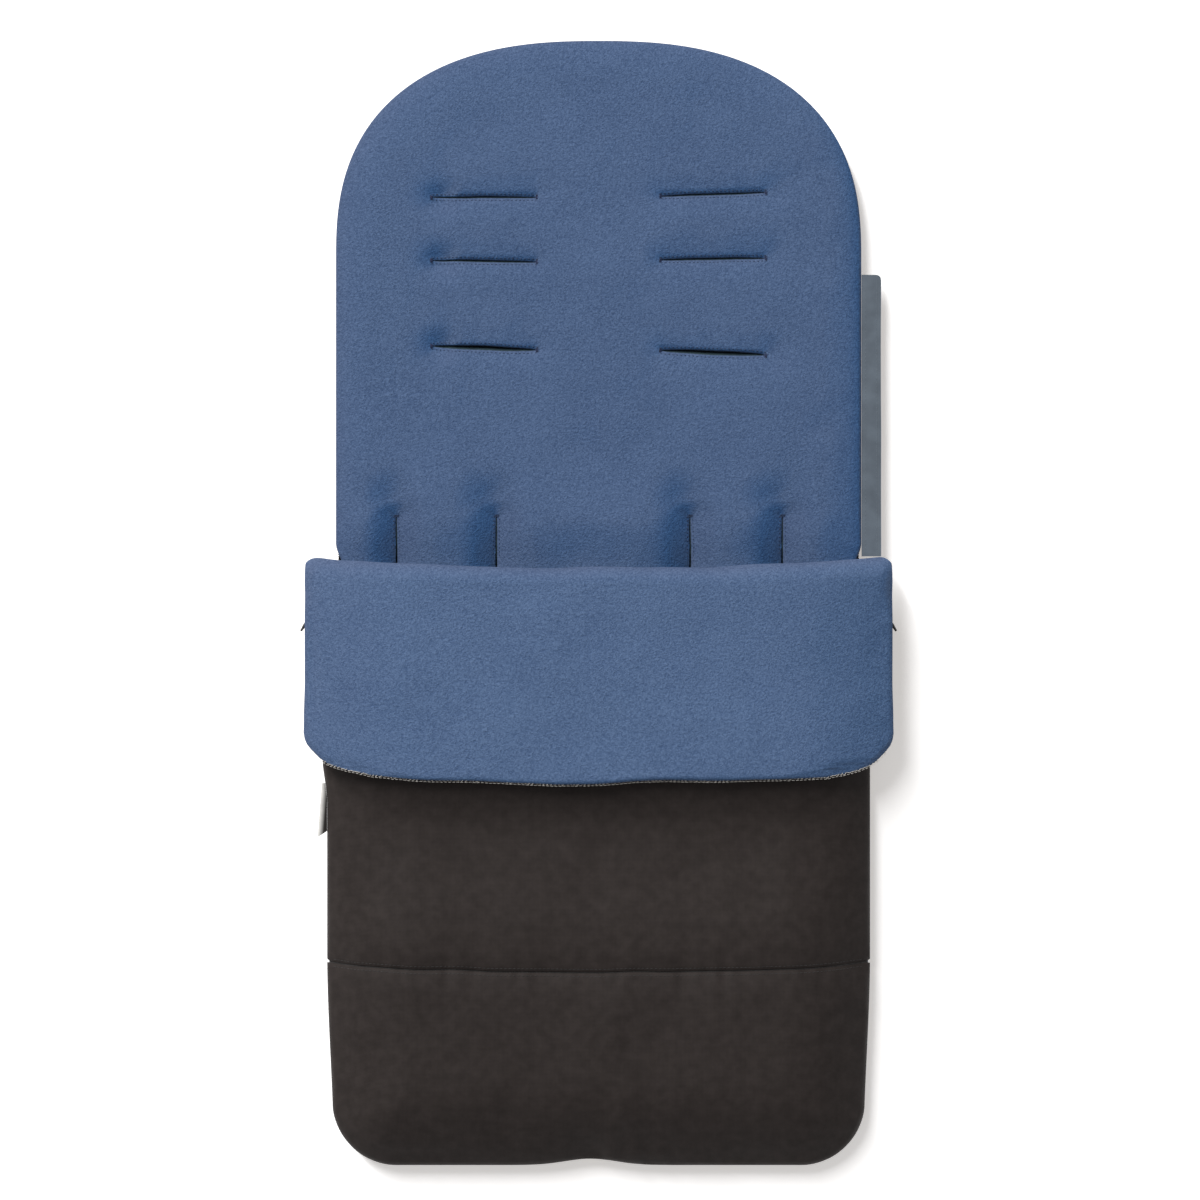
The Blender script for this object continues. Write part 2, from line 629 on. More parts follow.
slits = {
    "shoulderX": 0.0968,
    "shoulderLength": 0.087,
    "rows": {"upper": 0.3433, "middle": 0.2887, "lower": 0.2111},
    "turns": {
        "upper_left": -0.5,
        "upper_right": 2.4,
        "middle_left": -1.1,
        "middle_right": 2.0,
        "lower_left": -1.7,
        "lower_right": -2.2,
    },
    # how far the wadding pushes each slit's two ends across at the fleece, from the slot in the outer cloth
    "mouth": {
        "shoulder_slot_upper_left": (-0.0044, -0.0032),
        "shoulder_slot_upper_right": (-0.0011, -0.0017),
        "shoulder_slot_middle_left": (-0.0034, -0.0030),
        "shoulder_slot_middle_right": (-0.0009, -0.0021),
        "shoulder_slot_lower_left": (0.0012, 0.0005),
        "shoulder_slot_lower_right": (-0.0028, -0.0036),
        "waist_slot_outer_left": (0.0083, 0.0083),
        "waist_slot_inner_left": (0.0047, 0.0047),
        "waist_slot_inner_right": (0.0041, 0.0041),
        "waist_slot_outer_right": (0.0072, 0.0072),
        "crotch_slot": (0.0, 0.0),
    },
    "waistY": 0.0192,
    "waistLength": 0.100,
    "waistX": {"outer": 0.163, "inner": 0.0818},
    "crotchY": -0.075,
    "crotchLength": 0.060,
    "open": 0.0011,  # half the slit's width at its middle
    "closed": 0.0003,
    "gape": {"upper": 0.5, "middle": 0.6, "lower": 1.5, "waist": 0.45, "crotch": 1.0},  # share of that width
    "wander": 0.0004,
    "wanderEvery": 0.018,
    "lean": 0.0045,  # the wadding pushes the facings shut and to one side
    "facing": 0.0006,  # thickness of the facing cloth
    # the facing's rows from the fleece down to the outer cloth: shares of width, of lean and of depth
    "facingShares": (
        (1.0, 0.0, 0.0),
        (0.85, 0.35, 0.10),
        (0.5, 0.7, 0.3),
        (0.2, 1.0, 0.5),
        (0.3, 0.6, 0.75),
        (1.0, 0.0, 0.96),
        (1.6, 0.0, 1.0),
    ),
    "mouthDepthShare": 0.6,  # below this share of the depth the slit stands over its slot
}


def slitList():
    found = []
    for row, y in slits["rows"].items():
        for side, way in (("left", -1), ("right", 1)):
            turn = slits["turns"][f"{row}_{side}"]
            centre = (way * slits["shoulderX"], y)
            found.append((f"shoulder_slot_{row}_{side}", centre, slits["shoulderLength"], turn))
    for place, x in slits["waistX"].items():
        for side, way in (("left", -1), ("right", 1)):
            centre = (way * x, slits["waistY"])
            found.append((f"waist_slot_{place}_{side}", centre, slits["waistLength"], 90.0))
    found.append(("crotch_slot", (0.0, slits["crotchY"]), slits["crotchLength"], 0.0))
    return found


def slitLine(slit, mouth=1.0):
    name, centre, length, turn = slit
    along = np.array([math.cos(math.radians(turn)), math.sin(math.radians(turn))])
    across = np.array([-along[1], along[0]])
    first, last = slits["mouth"][name]
    start = np.array(centre) - along * length / 2 + across * first * mouth
    end = np.array(centre) + along * length / 2 + across * last * mouth
    return start, end


def slitLoop(slit, grown=0.0, wide=1.0, shift=0.0, count=30, mouth=1.0):
    # the slit's lens outline, widest in the middle, with shift across it
    start, end = slitLine(slit, mouth)
    along = (end - start) / np.linalg.norm(end - start)
    across = np.array([-along[1], along[0]])
    t = np.linspace(-1, 1, count)
    gape = next(share for part, share in slits["gape"].items() if part in slit[0])
    half = slits["open"] * gape * wide * np.sqrt(np.clip(1 - t**2, 0, 1)) ** 1.4 + slits["closed"]
    middle = (start + end) / 2
    reach = np.linalg.norm(end - start) / 2
    run = t * 0.04
    wander = softNoise(run, np.full(count, middle[0] + middle[1]), slits["wanderEvery"], 3) * slits["wander"]
    upper = middle + np.outer(t * (reach + grown), along) + np.outer(half + grown + wander + shift, across)
    lower = middle + np.outer(t * (reach + grown), along) + np.outer(-half - grown + wander + shift, across)
    return np.vstack([lower, upper[::-1]])


# How deep the sewn slits draw the fleece down, and how far from them the hollow reaches
hollow = {
    "waist": (0.0100, 0.017),
    "waistCrease": (0.002, 0.004),
    "shoulder": (0.0016, 0.012),
    "shoulderCrease": (0.0022, 0.0026),
    # one end of each slit is drawn down further: where that lies from the end, how wide, how deep
    "pulls": {
        "waist": {"at": (-0.004, 0.012), "wide": 1.0, "deep": (0.0060, 0.019)},
        "left": {"at": (0.008, -0.001), "wide": 1.2, "deep": (0.0058, 0.0120)},
        "right": {"at": (0.006, 0.0), "wide": 1.0, "deep": (0.0026, 0.013)},
    },
}


def drawnDown(distance, deep):
    return deep[0] * gauss(distance, deep[1])


def hollows(points):
    x, y = points[:, 0], points[:, 1]
    sunk = np.zeros(len(points))
    for slit in slitList():
        start, end = slitLine(slit)
        away = depthIn(points, np.array([start, end]), closed=False)
        kind = "waist" if slit[0].startswith("waist") else "shoulder"
        sunk = np.maximum(sunk, drawnDown(away, hollow[kind]) + drawnDown(away, hollow[kind + "Crease"]))
        leftOne = kind == "shoulder" and start[0] < 0
        pull = hollow["pulls"]["left" if leftOne else "waist" if kind == "waist" else "right"]
        corner = start if leftOne else end
        across = (x - corner[0] - pull["at"][0]) / pull["wide"]
        sunk = np.maximum(sunk, drawnDown(np.hypot(across, y - corner[1] - pull["at"][1]), pull["deep"]))
    return sunk


fleeceOutline = padLoop(0.0, pad["drawnIn"])

fleeceForm = {
    "lip": 0.0016,  # the fleece's edge stands this far above the side seam
    "puff": 0.0030,  # a swell above the cuff
    "puffY": 0.062,
    "puffReach": 0.045,
    "bareFrom": 0.04,  # below the hinge line, where the cover begins to lie on it
    "bareOver": 0.05,
    "pressed": 0.0034,  # the cuff's weight presses the face down below here
    "pressedY": 0.070,
    "pressedOver": 0.046,
    "soft": ((0.055, 5, 0.0007), (0.021, 6, 0.0003)),
    "pile": ((0.0032, 8, 0.00012),),
    "underside": 0.0150,
    "slitRings": (0.0012, 0.0028, 0.0052),
    "edgeRings": (0.0006, 0.0018, 0.0036),
    "spacing": 0.0042,
    "spacingUnder": 0.014,
}


def fleeceTop(points):
    x, y = points[:, 0], points[:, 1]
    form = fleeceForm
    depth = depthIn(points, fleeceOutline)
    rounded = np.sqrt(np.clip(1 - (1 - np.clip(depth / pad["round"], 0, 1)) ** 2.2, 0, 1))
    crown = mix(sideHeight(y) + form["lip"], pad["crown"], rounded)
    bare = smoothStep((y - hinge["y"] + form["bareFrom"]) / form["bareOver"])
    puff = form["puff"] * gauss(y - form["puffY"], form["puffReach"]) * bare * smoothStep(depth / 0.05)
    pressed = form["pressed"] * smoothStep((form["pressedY"] - y) / form["pressedOver"]) * rounded
    sewn = hollows(points) * smoothStep(depth / 0.02)
    return crown + puff - pressed - sewn + uneven(x, y, form["soft"]) * rounded + uneven(x, y, form["pile"])


def fleeceLow(points):
    depth = depthIn(points, fleeceOutline)
    return mix(sideHeight(points[:, 1]), fleeceForm["underside"], smoothStep(depth / 0.03))


def makeBackFleece():
    form, drawn = fleeceForm, pad["drawnIn"]
    outermost = form["slitRings"][-1]
    loops = [fleeceOutline] + [slitLoop(slit) for slit in slitList()]
    rings = [slitLoop(slit, grown, count=34) for slit in slitList() for grown in form["slitRings"]]
    clear = [(slitLoop(slit, outermost), 0.0022) for slit in slitList()]
    edgeRings = [padLoop(inset, drawn, 0.0034) for inset in form["edgeRings"]]
    points = np.vstack([gridIn(padLoop(0.0055, drawn), form["spacing"], clear)] + rings + edgeRings)
    clearUnder = [(slitLoop(slit, 0.002), 0.004) for slit in slitList()]
    lowPoints = gridIn(fleeceOutline, form["spacingUnder"], clearUnder)
    piece = layer("back_pad_fleece", loops, points, fleeceTop, fleeceLow, fleeceCloth, lowPoints)
    settle(piece, "pad_and_cover", "fleece", "back_fleece", "back_wadding")


def makeSlitFacing(slit):
    # two facing cloths, sewn round the slit and pressed together by the wadding
    inner, outer = [], []
    for wide, lean, share in slits["facingShares"]:
        mouth = min((1 - share) / slits["mouthDepthShare"], 1)
        flat = slitLoop(slit, -0.0001, wide, slits["lean"] * lean, 30, mouth)
        height = mix(fleeceTop(flat) - 0.0006, 0.0002, share)
        away = np.array([flat[i] - (flat[i] + flat[len(flat) - 1 - i]) / 2 for i in range(len(flat))])
        away /= np.maximum(np.linalg.norm(away, axis=1), 1e-6)[:, None]
        inner.append(np.column_stack([flat, height]))
        outer.append(np.column_stack([flat + away * slits["facing"], height]))
    rings = np.array(inner + outer[::-1])
    rows, columns = rings.shape[:2]
    faces = gridFaces(rows, columns, wrap=True)
    last = (rows - 1) * columns
    faces += [(last + j, last + (j + 1) % columns, (j + 1) % columns, j) for j in range(columns)]
    piece = meshFrom(slit[0] + "_facing", rings.reshape(-1, 3), faces, facing)
    settle(piece, "pad_and_cover", "slot_binding", slit[0])


slitThread = {"away": 0.0019, "lift": 0.0001, "length": 0.0018, "gap": 0.0016, "radius": 0.00034}
barTack = {
    "bars": 4,
    "first": 0.0004,
    "pitch": 0.0005,
    "across": (-0.0019, -0.0006, 0.0006, 0.0019),
    "lift": 0.0004,
    "length": 0.0036,
    "gap": 0.0001,
    "radius": 0.00028,
    "sinkShare": 0.2,
}


def makeSlitStitches():
    # one row of small stitches round each slit, and a bar tack across each end
    rows, tacks, waistTacks = [], [], []
    for slit in slitList():
        loop = slitLoop(slit, slitThread["away"], count=60)
        loop = np.vstack([loop, loop[:1]])
        rows.append(np.column_stack([loop, fleeceTop(loop) + slitThread["lift"]]))
        start, end = slitLine(slit)
        along = (end - start) / np.linalg.norm(end - start)
        across = np.array([-along[1], along[0]])
        kept = waistTacks if slit[0].startswith("waist") else tacks
        for point, way in ((start, -1), (end, 1)):
            for step in range(barTack["bars"]):
                middle = point + along * way * (barTack["first"] + barTack["pitch"] * step)
                bar = np.array([middle + across * out for out in barTack["across"]])
                kept.append(np.column_stack([bar, fleeceTop(bar) + barTack["lift"]]))
    size = (slitThread["length"], slitThread["gap"], slitThread["radius"])
    around = stitches("slit_stitches", rows, *size, blueThread)
    settle(around, "pad_and_cover", "seam_thread")
    size = (barTack["length"], barTack["gap"], barTack["radius"])
    barTacks = (("slit_bar_tacks", tacks, navyThread), ("waist_bar_tacks", waistTacks, blueThread))
    for name, lines, thread in barTacks:
        bars = stitches(name, lines, *size, thread, barTack["sinkShare"])
        settle(bars, "pad_and_cover", "seam_thread")


backCloth = {
    "thick": 0.0008,
    # up the side wall: how far out each row lies from the pad's outline, and its share of the side's height
    "profile": (
        (-0.0062, 1.0),
        (-0.0060, 0.9),
        (-0.0060, 0.6),
        (-0.0066, 0.35),
        (-0.0080, 0.12),
        (-0.0104, 0.02),
        (-0.0125, 0.0),
    ),
    "ripple": 0.0005,
    "rippleEvery": 0.02,
    "spacing": 0.0045,
    "spacingUnder": 0.02,
}


def makeBackShell():
    # the outer cloth: flat underneath and turned up round the sides to the fleece's seam
    edge = rightEdge()
    high = sideHeight(edge[:, 1])
    rings = []
    for out, share in backCloth["profile"]:
        ring = np.column_stack([movedOut(edge, out), high * share])
        rings.append(resampled(np.vstack([ring, ring[1:-1][::-1] * (-1, 1, 1)]), backCloth["spacing"], True))
    count = min(len(ring) for ring in rings)
    even = []
    for ring in rings:
        whole = np.vstack([ring, ring[:1]])
        run = np.linspace(0, 1, len(whole))
        places = np.linspace(0, 1, count + 1)[:-1]
        even.append(np.stack([np.interp(places, run, whole[:, i]) for i in range(3)], axis=1))
    ripple = softNoise(even[0][:, 0], even[0][:, 1], backCloth["rippleEvery"], 14) * backCloth["ripple"]
    for ring, (_, share) in zip(even, backCloth["profile"]):
        ring[:, 2] += ripple * share * (1 - share) * 2
    points = np.array(even).reshape(-1, 3)
    faces = gridFaces(len(even), count, wrap=True)
    under = even[-1][:, :2]
    clear = [(slitLoop(slit, 0.003, mouth=0.0), 0.004) for slit in slitList()]
    loops = [under] + [slitLoop(slit, 0.0006, 1.6, mouth=0.0) for slit in slitList()]
    flat, tris, borders = filled(loops, gridIn(under, backCloth["spacingUnder"], clear))
    base = len(points)
    link = {index: (len(even) - 1) * count + i for i, index in enumerate(borders[0])}
    spots = np.column_stack([flat, np.zeros(len(flat))])
    faces += [tuple(link.get(i, base + i) for i in face) for face in tris]
    piece = meshFrom("back_shell_cloth", np.vstack([points, spots]), faces, blackCloth)
    work = bmesh.new()
    work.from_mesh(piece.data)
    bmesh.ops.delete(work, geom=[v for v in work.verts if not v.link_faces], context="VERTS")
    bmesh.ops.recalc_face_normals(work, faces=work.faces)
    work.to_mesh(piece.data)
    work.free()
    solid = piece.modifiers.new("cloth thickness", "SOLIDIFY")
    solid.thickness = backCloth["thick"]
    solid.offset = -1
    settle(piece, "pad_and_cover", "shell_cloth", "back_shell")


makeBackFleece()
for slit in slitList():
    makeSlitFacing(slit)
makeSlitStitches()
makeBackShell()
print("back made")


# Cover over the legs: two black panels joined by a cross seam, fleece lining inside

cover = {
    "overhang": 0.0075,
    "rim": 0.0186,  # where the panel's edge is sewn to the zip
    "bulge": 0.0050,
    "top": 0.0550,
    "round": 0.078,
    "under": 0.0420,
    "underRim": 0.013,
    "seamY": -0.3122,
    "seamBow": 0.005,
    "footDip": 0.0055,
    "footDipWidth": 0.030,
    "boxX": -0.0068,
    "thick": 0.0014,
    "flare": 0.0038,  # the left side stands out this far just below the cuff
    "flareLow": -0.172,
    "flareHigh": -0.03,
    "flareRuns": (0.036, 0.04),
    "seamWave": ((0.03, 31, 0.0006),),
    "seamGap": 0.0004,
    "spacing": 0.0042,
    "spacingUnder": 0.008,
    "edgeStep": 0.0034,
    "ringStep": 0.0036,
    "offSeam": 0.0068,  # loose points keep this far off the rings along the seam and the edge
    "offEdge": 0.007,
    "edgeRings": (0.0007, 0.0018, 0.0034, 0.0052),
    "seamRings": (0.0015, 0.003, 0.005),
    "liningInset": 0.0018,
    "liningThick": 0.0016,
}


def coverFlare(y):
    # the left side stands out a little where the cuff lies on it
    runUp, runOut = cover["flareRuns"]
    fromFoot, toCuff = (y - cover["flareLow"]) / runUp, (cover["flareHigh"] - y) / runOut
    return cover["flare"] * smoothStep(fromFoot) * smoothStep(toCuff)


def coverPath(inset=0.0, step=0.004):
    # round the cover from its top left corner by the foot to its top right one
    line = movedOut(rightEdge(), cover["overhang"] - inset)
    topY = hinge["y"] - hinge["gap"]
    corner = (pad["width"] / 2 + cover["overhang"] - inset, topY)
    right = np.vstack([line[line[:, 1] < topY - 0.001], [corner]])
    whole = np.vstack([right[1:][::-1] * (-1, 1), right])
    dip = cover["footDip"] * gauss(whole[:, 0] - cover["boxX"], cover["footDipWidth"])
    whole[:, 1] += np.where(whole[:, 1] < cover["seamY"], dip, 0)
    whole[:, 0] -= np.where(whole[:, 0] < 0, coverFlare(whole[:, 1]), 0)
    return resampled(whole, step)


coverLine = coverPath()


def seamLineY(x):
    bow = cover["seamBow"] * (x / (pad["width"] / 2)) ** 2
    return cover["seamY"] + bow + uneven(x, x * 0, cover["seamWave"])


# What shapes the panels' outer cloth. Lumps are given by size, seed and height, dips by height and reach.
wrinkles = {
    "groove": (0.0021, 0.011),  # the wadding falls to the seam, and the cloth dips into it
    "crease": (0.0012, 0.0022),
    "pucker": ((0.0075, 21, 0.0008),),
    "puckersAt": ((0.012, 0.012), (-0.012, 0.014)),  # on both sides of the seam, and how far they reach
    "footPucker": ((0.0105, 22, 0.0016),),
    "ripple": 0.0008,  # small slanting ripples on the right, where the zip turns in to the foot
    "rippleEvery": 0.0042,
    "rippleLean": 30,
    "rippleAt": ((0.214, 0.016), (-0.375, 0.045)),
    "edge": ((0.013, 23, 0.0009),),
    "soft": ((0.060, 24, 0.0014), (0.027, 25, 0.0005)),
    "pressed": 0.0074,  # the cuff presses the panel down below its free edge
    "pressedFrom": -0.146,
    "pressedRun": 0.044,
    "freeFrom": -0.190,
    "freeRun": 0.095,
    # shallow creases: x, y, half width, half length, height and slant
    "folds": (
        (0.012, -0.350, 0.010, 0.040, 0.0022, 0.10),
        (-0.030, -0.352, 0.014, 0.034, -0.0014, -0.1),
        (0.055, -0.360, 0.017, 0.050, -0.0015, 0.2),
        (0.100, -0.345, 0.016, 0.030, 0.0012, -0.25),
        (-0.110, -0.352, 0.020, 0.040, 0.0012, 0.2),
        (0.020, -0.430, 0.012, 0.030, 0.0018, 0.15),
        (-0.070, -0.425, 0.022, 0.040, -0.0013, 0.3),
        (0.150, -0.410, 0.022, 0.050, 0.0014, 0.4),
        (-0.160, -0.400, 0.024, 0.050, -0.0012, -0.3),
        (-0.02, -0.21, 0.03, 0.05, 0.0010, 0.3),
        (0.12, -0.23, 0.03, 0.05, -0.0012, 0.2),
        (-0.15, -0.24, 0.03, 0.06, 0.0011, -0.2),
    ),
}


def coverWrinkles(x, y, depth):
    away = y - seamLineY(x)
    groove = drawnDown(away, wrinkles["groove"]) + drawnDown(away, wrinkles["crease"])
    besideSeam = sum(gauss(away - middle, reach) for middle, reach in wrinkles["puckersAt"])
    pucker = uneven(x, y * 0.12, wrinkles["pucker"]) * besideSeam
    foot = -pad["length"] / 2 - cover["overhang"]
    low = gauss(y - foot - 0.012, 0.026)
    footPucker = uneven(x, y * 0.2, wrinkles["footPucker"]) * low * (0.35 + gauss(x - 0.03, 0.07))
    ripples = np.sin((y + 0.37) / wrinkles["rippleEvery"] + x * wrinkles["rippleLean"]) * wrinkles["ripple"]
    (atX, reachX), (atY, reachY) = wrinkles["rippleAt"]
    rightRipple = ripples * gauss(x - atX, reachX) * gauss(y - atY, reachY)
    edgeRipple = uneven(x * 0.3, y, wrinkles["edge"]) * gauss(depth - 0.010, 0.013)
    fold = 0.0
    for foldX, foldY, wide, tall, high, lean in wrinkles["folds"]:
        fold = fold + high * gauss(x - foldX - lean * (y - foldY), wide) * gauss(y - foldY, tall)
    weighed = wrinkles["pressed"] * smoothStep((wrinkles["pressedFrom"] - y) / wrinkles["pressedRun"])
    pressed = weighed * (1 - smoothStep((wrinkles["freeFrom"] - y) / wrinkles["freeRun"]))
    pressed = pressed * smoothStep((depth - 0.012) / 0.05)
    drawn = -pressed - groove + pucker + footPucker + rightRipple + edgeRipple
    soft = uneven(x, y, wrinkles["soft"])
    return drawn + fold * smoothStep(depth / 0.04) + soft * smoothStep(depth / 0.05)


def coverTop(points):
    x, y = points[:, 0], points[:, 1]
    depth = depthIn(points, coverLine, closed=False)
    share = np.clip(depth / cover["round"], 0, 1)
    near = np.clip(depth / 0.0045, 0, 1)
    rise = cover["bulge"] * np.sqrt(np.clip(1 - (1 - near) ** 2, 0, 1))
    height = cover["rim"] + rise + (cover["top"] - cover["rim"] - cover["bulge"]) * (1 - (1 - share) ** 2)
    return height + coverWrinkles(x, y, depth) * smoothStep(depth / 0.004)


def coverUnder(points):
    run = cover["round"] - cover["underRim"]
    depth = np.clip((depthIn(points, coverLine, closed=False) - cover["underRim"]) / run, 0, 1)
    return mix(pad["sideHigh"], cover["under"], 1 - (1 - depth) ** 2)


def makeCoverPanel(name, node, upper):
    gap = cover["seamGap"]
    path = coverPath(0.0, cover["edgeStep"])
    side = path[:, 1] - seamLineY(path[:, 0])
    if upper:
        ends = path[np.flatnonzero(side > gap)]
        left = ends[ends[:, 0] < 0]
        right = ends[ends[:, 0] > 0]
        xs = np.linspace(left[-1, 0], right[0, 0], 130)
        seam = np.column_stack([xs, seamLineY(xs) + gap])
        topXs = np.linspace(right[-1, 0], left[0, 0], 130)[1:-1]
        top = np.column_stack([topXs, np.full(len(topXs), hinge["y"] - hinge["gap"])])
        loop = np.vstack([left, seam[1:-1], right, top])
    else:
        kept = path[side < -gap]
        xs = np.linspace(kept[-1, 0], kept[0, 0], 130)
        loop = np.vstack([kept, np.column_stack([xs, seamLineY(xs) - gap])[1:-1]])
    loopRings = []
    for inset in cover["edgeRings"]:
        ring = coverPath(inset, cover["ringStep"])
        side = ring[:, 1] - seamLineY(ring[:, 0])
        loopRings.append(ring[(side > 0.002) & (ring[:, 1] < hinge["y"] - 0.002) if upper else side < -0.002])
    xs = np.linspace(-0.222, 0.222, 200)
    for away in cover["seamRings"]:
        loopRings.append(np.column_stack([xs, seamLineY(xs) + (away if upper else -away)]))
    rings = np.vstack(loopRings)
    body = gridIn(loop, cover["spacing"])
    offSeam = np.abs(body[:, 1] - seamLineY(body[:, 0])) > cover["offSeam"]
    offEdge = depthIn(body, coverLine, closed=False) > cover["offEdge"]
    points = np.vstack([body[offEdge & offSeam], rings[inside(rings, loop)]])
    under = lambda flat: coverTop(flat) - cover["thick"]
    piece = layer(name, [loop], points, coverTop, under, blackCloth, gridIn(loop, cover["spacingUnder"]))
    settle(piece, "pad_and_cover", "shell_cloth", node)


def makeCoverLining():
    path = coverPath(cover["liningInset"], 0.006)
    topXs = np.linspace(path[-1, 0], path[0, 0], 80)[1:-1]
    loop = np.vstack([path, np.column_stack([topXs, np.full(len(topXs), hinge["y"] - hinge["gap"])])])
    top = lambda flat: coverUnder(flat) + cover["liningThick"]
    under = lambda flat: coverUnder(flat) - 0.0003 + softNoise(flat[:, 0], flat[:, 1], 0.04, 41) * 0.0006
    piece = layer("cover_lining_fleece", [loop], gridIn(loop, 0.009), top, under, liningCloth)
    settle(piece, "pad_and_cover", "fleece", "cover_lining", "cover_wadding")


crossSeam = {
    "half": 0.2275,
    "cord": 0.0007,
    "cordSunk": 0.0008,
    "rowAway": 0.0030,
    "stitch": 0.0026,
    "gap": 0.0010,
    "thread": 0.00025,
    "threadLift": 0.0001,
}


def makeCoverSeam():
    # the panels' turned edge lies in the groove, with a row of topstitching on each side
    xs = np.linspace(-crossSeam["half"], crossSeam["half"], 240)
    path = np.column_stack([xs, seamLineY(xs)])
    cord = np.column_stack([path, coverTop(path) - crossSeam["cordSunk"]])
    welt = sweptTube("cover_seam_welt", cord, roundProfile(crossSeam["cord"], 6, 0.7), blackThread)
    settle(welt, "pad_and_cover", "seam_thread", "cover_seam_thread")
    rows = []
    for away in (-crossSeam["rowAway"], crossSeam["rowAway"]):
        line = np.column_stack([xs[2:-2], seamLineY(xs[2:-2]) + away])
        rows.append(np.column_stack([line, coverTop(line) + crossSeam["threadLift"]]))
    size = (crossSeam["stitch"], crossSeam["gap"], crossSeam["thread"])
    row = stitches("cover_topstitching", rows, *size, blackThread)
    settle(row, "pad_and_cover", "seam_thread")


# Cuff: the top of the cover, rolled over its fold and laid down with the lining outwards

cuff = {
    "half": 0.2468,
    "length": 0.168,
    "bow": 0.006,
    "cornerX": 0.056,
    "cornerUpMm": (0, 0.7, 1.5, 2.8, 4.2, 5.6, 6.8, 8.4, 10.2, 13.6, 17.8, 22.0, 26.3, 30.5, 36.4),
    "cornerInMm": (55.9, 54.4, 50.8, 44.0, 37.3, 32.6, 28.8, 24.2, 20.3, 15.3, 11.0, 6.8, 3.2, 1.2, 0),
    # the free edge sags unevenly: how far up it lies along the cuff, from the photograph
    "sagAtMm": (-225, -160, -100, -60, -35, 0, 30, 90, 130, 150, 215),
    "sagUpMm": (3.0, 3.2, 2.4, 1.6, 1.0, 2.2, 3.8, 4.4, 3.6, 2.8, 1.8),
    "middleZ": 0.0638,
    "halfThick": 0.0069,
    "round": 0.0105,
    "faceRound": 0.0045,  # at the free edge the fleece stays level and the shell rises to meet it
    "underRound": 0.022,
    "edgeLift": 0.0036,
    "drapeX": 0.152,  # beyond here the cuff sinks over the cover's falling sides
    "drape": 0.0140,
    "drapeRun": 0.078,
    "reach": 0.0150,  # how far the fold's middle and ends stand out past the hinge line
    "ear": 0.0095,
    "creaseZ": 0.0559,  # where the shell parts from the fleece as the cuff turns
    "fleeceBend": 0.0003,
    "shellBend": 0.0009,
    "shellSlope": 0.22,
    "fleeceThick": 0.0022,
    "shellThick": 0.0010,
    "sideWave": ((0.034, 51, 0.0009),),
    "foldWave": ((0.05, 52, 0.0007),),
    "ragged": ((0.05, 53, 0.0010),),
    "lie": ((0.07, 54, 0.0007),),
    "soft": ((0.045, 55, 0.0007), (0.018, 56, 0.0003)),
    "gather": ((0.011, 57, 0.0007),),
    "hem": ((0.012, 58, 0.0005),),
    "rollRows": 26,
    "flatRows": 84,
    "columns": 210,
}


def cuffHalf(y):
    # half the cuff's width at each height, which rounds off at the free corners
    low = hinge["y"] - cuff["length"] + cuff["bow"]
    inMm = np.interp((y - low) / mm, cuff["cornerUpMm"], cuff["cornerInMm"])
    return cuff["half"] - inMm * mm + uneven(y, y * 0, cuff["sideWave"])


def cuffDrape(x):
    return cuff["drape"] * (np.maximum(np.abs(x) - cuff["drapeX"], 0) / cuff["drapeRun"]) ** 2


def rollTurns():
    # how far round the fold each row of the roll lies, with none near its brow, where the cloth opens flat
    turns = math.pi * (1 - (1 - np.arange(cuff["rollRows"]) / cuff["rollRows"]) ** 1.25)
    return np.where(turns < math.pi / 2, turns * 0.88, math.pi - (math.pi - turns) * 0.88)


def cuffMiddle():
    # the middle surface, row by row from the cover's top edge round the fold to the free edge
    u = np.linspace(-1, 1, cuff["columns"])
    s = np.sign(u) * (1 - (1 - np.abs(u)) ** 1.5)
    low = hinge["y"] - cuff["length"]
    rows, shares = [], []
    startX = s * (pad["width"] / 2 + cover["overhang"] - 0.0015)
    at = np.column_stack([startX, np.full(len(s), hinge["y"])])
    startLow, startTop = coverUnder(at), coverTop(at)
    startZ, startHalf = (startLow + startTop) / 2, (startTop - startLow) / 2
    firstX = s * cuffHalf(np.array([hinge["y"]]))[0]
    endZ = cuff["middleZ"] - cuffDrape(firstX)
    reach = cuff["reach"] + cuff["ear"] * np.abs(s) ** 2.2 + uneven(s * 0.25, s * 0, cuff["foldWave"])
    startY = hinge["y"] - hinge["gap"]
    for step, turn in enumerate(rollTurns()):
        share = step / cuff["rollRows"]
        half = mix(startHalf, cuff["halfThick"], smoothStep(share))
        x = mix(startX, firstX, smoothStep(share * 1.8))
        y = startY + (reach - half) * max(math.sin(turn), 0) ** (1 if turn < math.pi / 2 else 0.62)
        z = mix(startZ, endZ, (1 - math.cos(turn)) / 2)
        rows.append(np.column_stack([x, y, z]))
        shares.append(half)
    for step in range(cuff["flatRows"] + 1):
        t = step / cuff["flatRows"]
        q = 1 - (1 - t) ** 1.7
        rowY = mix(startY, low + cuff["bow"], q)
        x = s * cuffHalf(np.array([rowY]))[0]
        bow = -cuff["bow"] * (1 - np.clip(np.abs(x) / (cuff["half"] - cuff["cornerX"]), 0, 1) ** 2) * q**3
        ragged = uneven(x, x * 0, cuff["ragged"]) * q**4
        y = rowY + bow + ragged + np.interp(x / mm, cuff["sagAtMm"], cuff["sagUpMm"]) * mm * q**3
        lie = uneven(x, y, cuff["lie"]) * smoothStep(q / 0.2)
        z = cuff["middleZ"] - cuffDrape(x) + 0.0004 * q**2 + lie
        rows.append(np.column_stack([x, y, z]))
        shares.append(np.full(len(s), cuff["halfThick"]))
    return np.array(rows), np.array(shares)


